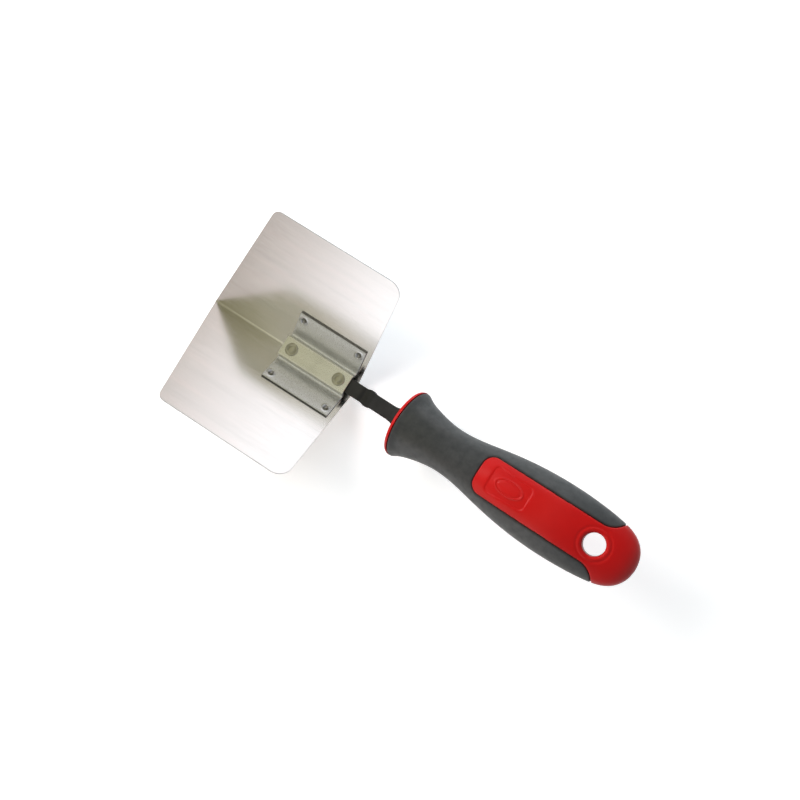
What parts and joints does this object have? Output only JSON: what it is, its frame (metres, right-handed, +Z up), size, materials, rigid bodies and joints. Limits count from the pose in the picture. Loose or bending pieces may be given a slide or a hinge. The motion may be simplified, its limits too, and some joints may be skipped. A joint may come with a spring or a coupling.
{
  "type": "inside corner trowel",
  "caption": "Inside corner trowel: a stainless sheet bent to a wide vee, a riveted hat bracket and cranked tang, and a soft-grip handle with a hanging hole.",
  "frame": {"origin": "centre of the bounding box in plan, on the level of the crease's lowest line", "axes": "+X along the blade's crease towards the handle, +Y across the tool to the left wing, +Z up out of the open vee"},
  "size_m": [0.247, 0.1076, 0.0584],
  "materials": {
    "stainless": "fine brushed, bright",
    "plated_steel": "satin plated pressing",
    "black_steel": "satin black",
    "rivet_steel": "satin, lightly tumbled",
    "red_plastic": "semi-gloss moulded",
    "grey_rubber": "satin moulded"
  },
  "bodies": {
    "root": {"blade": "stainless", "bracket": "plated_steel", "tang": "black_steel", "rivet_front": "rivet_steel", "rivet_rear": "rivet_steel", "handle_core": "red_plastic", "grip_overmold": "grey_rubber"}
  },
  "joints": []
}
